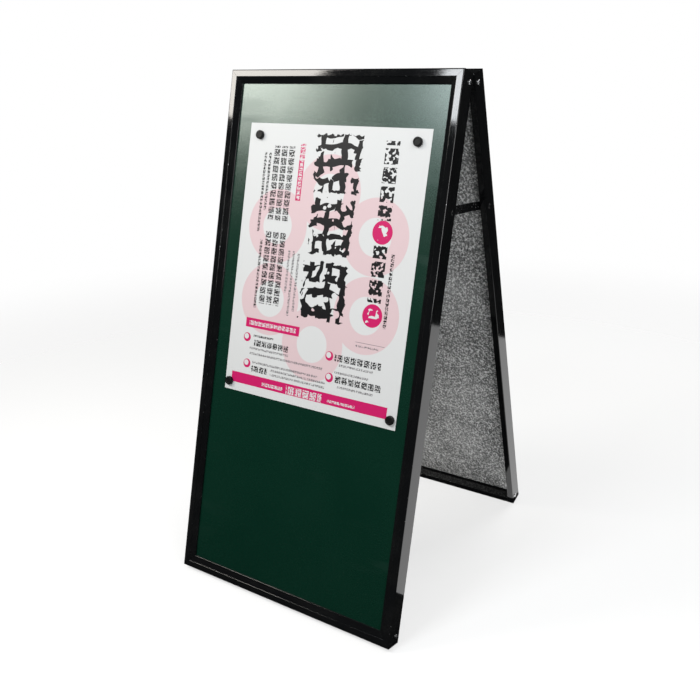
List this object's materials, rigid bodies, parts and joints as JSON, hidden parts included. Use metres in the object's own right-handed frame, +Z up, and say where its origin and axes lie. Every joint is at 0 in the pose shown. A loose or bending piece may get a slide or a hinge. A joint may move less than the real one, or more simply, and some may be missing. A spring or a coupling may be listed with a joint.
{
  "type": "sandwich board",
  "caption": "Free-standing A-frame sandwich board: framed magnetic boards hinged at the top, folding stays at the sides, and a poster held by magnets.",
  "frame": {"origin": "on the ground, under the hinge line, midway across", "axes": "X runs across the boards, Y from the front panel to the rear panel, Z up"},
  "size_m": [0.6048, 0.7156, 1.1675],
  "materials": {
    "frame_black": "gloss black coated aluminium extrusion",
    "board_green": "satin dark green writing-board enamel on steel sheet",
    "board_core": "raw fibre core",
    "board_back": "grey galvanised sheet",
    "key_metal": "cast, as made",
    "screw_steel": "bright zinc plated",
    "hinge_black": "satin black",
    "stay_black": "satin black",
    "poster_paper": "coated paper, printed",
    "magnet_black": "satin black",
    "magnet_ferrite": "dull dark grey ceramic"
  },
  "bodies": {
    "front_panel": {"front_stile_left": "frame_black", "front_stile_right": "frame_black", "front_rail_top": "frame_black", "front_rail_bottom": "frame_black", "front_corner_keys": "key_metal", "front_corner_screws": "screw_steel", "front_board_face": "board_green", "front_board_core": "board_core", "front_board_back": "board_back", "front_hinge_leaf_left": "hinge_black", "front_hinge_leaf_right": "hinge_black", "front_hinge_screws": "hinge_black", "front_stay_rivets": "stay_black", "front_stay_washers": "stay_black", "hinge_pin_left": "hinge_black", "hinge_pin_right": "hinge_black", "poster_sheet": "poster_paper"},
    "rear_panel": {"rear_stile_left": "frame_black", "rear_stile_right": "frame_black", "rear_rail_top": "frame_black", "rear_rail_bottom": "frame_black", "rear_corner_keys": "key_metal", "rear_corner_screws": "screw_steel", "rear_board_face": "board_green", "rear_board_core": "board_core", "rear_board_back": "board_back", "rear_hinge_leaf_left": "hinge_black", "rear_hinge_leaf_right": "hinge_black", "rear_hinge_screws": "hinge_black", "rear_stay_rivets": "stay_black", "rear_stay_spacers": "stay_black"},
    "front_link_left": {"stay_front_link_left": "stay_black", "stay_knee_outer_half_left": "stay_black"},
    "rear_link_left": {"stay_rear_link_left": "stay_black", "stay_knee_inner_half_left": "stay_black"},
    "front_link_right": {"stay_front_link_right": "stay_black", "stay_knee_outer_half_right": "stay_black"},
    "rear_link_right": {"stay_rear_link_right": "stay_black", "stay_knee_inner_half_right": "stay_black"},
    "magnet_top_left": {"magnet_cap_top_left": "magnet_black", "magnet_disc_top_left": "magnet_ferrite"},
    "magnet_top_right": {"magnet_cap_top_right": "magnet_black", "magnet_disc_top_right": "magnet_ferrite"},
    "magnet_bottom_left": {"magnet_cap_bottom_left": "magnet_black", "magnet_disc_bottom_left": "magnet_ferrite"},
    "magnet_bottom_right": {"magnet_cap_bottom_right": "magnet_black", "magnet_disc_bottom_right": "magnet_ferrite"}
  },
  "joints": [
    {"name": "fold", "type": "hinge", "parent": "front_panel", "child": "rear_panel", "pos_m": [0, 0, 1.16018], "axis": [1, 0, 0], "range_deg": [-30.6, 0]},
    {"name": "front_link_left_pivot", "type": "hinge", "parent": "front_panel", "child": "front_link_left", "pos_m": [-0.284, -0.08795, 0.89364], "axis": [1, 0, 0], "range_deg": [-92.9, 0]},
    {"name": "rear_link_left_pivot", "type": "hinge", "parent": "rear_panel", "child": "rear_link_left", "pos_m": [-0.284, 0.09112, 0.88206], "axis": [1, 0, 0], "range_deg": [0, 99.05]},
    {"name": "front_link_right_pivot", "type": "hinge", "parent": "front_panel", "child": "front_link_right", "pos_m": [0.284, -0.08795, 0.89364], "axis": [1, 0, 0], "range_deg": [-92.9, 0]},
    {"name": "rear_link_right_pivot", "type": "hinge", "parent": "rear_panel", "child": "rear_link_right", "pos_m": [0.284, 0.09112, 0.88206], "axis": [1, 0, 0], "range_deg": [0, 99.05]},
    {"name": "magnet_top_left_lift", "type": "slide", "parent": "front_panel", "child": "magnet_top_left", "axis": [0, -0.9646, 0.2639], "range_m": [0, 0.03]},
    {"name": "magnet_top_right_lift", "type": "slide", "parent": "front_panel", "child": "magnet_top_right", "axis": [0, -0.9646, 0.2639], "range_m": [0, 0.03]},
    {"name": "magnet_bottom_left_lift", "type": "slide", "parent": "front_panel", "child": "magnet_bottom_left", "axis": [0, -0.9646, 0.2639], "range_m": [0, 0.03]},
    {"name": "magnet_bottom_right_lift", "type": "slide", "parent": "front_panel", "child": "magnet_bottom_right", "axis": [0, -0.9646, 0.2639], "range_m": [0, 0.03]}
  ],
  "couplings": [
    {"joint": "front_link_left_pivot", "follows": "fold", "ratio": 3.0353},
    {"joint": "rear_link_left_pivot", "follows": "fold", "ratio": -3.2364},
    {"joint": "front_link_right_pivot", "follows": "fold", "ratio": 3.0353},
    {"joint": "rear_link_right_pivot", "follows": "fold", "ratio": -3.2364}
  ]
}
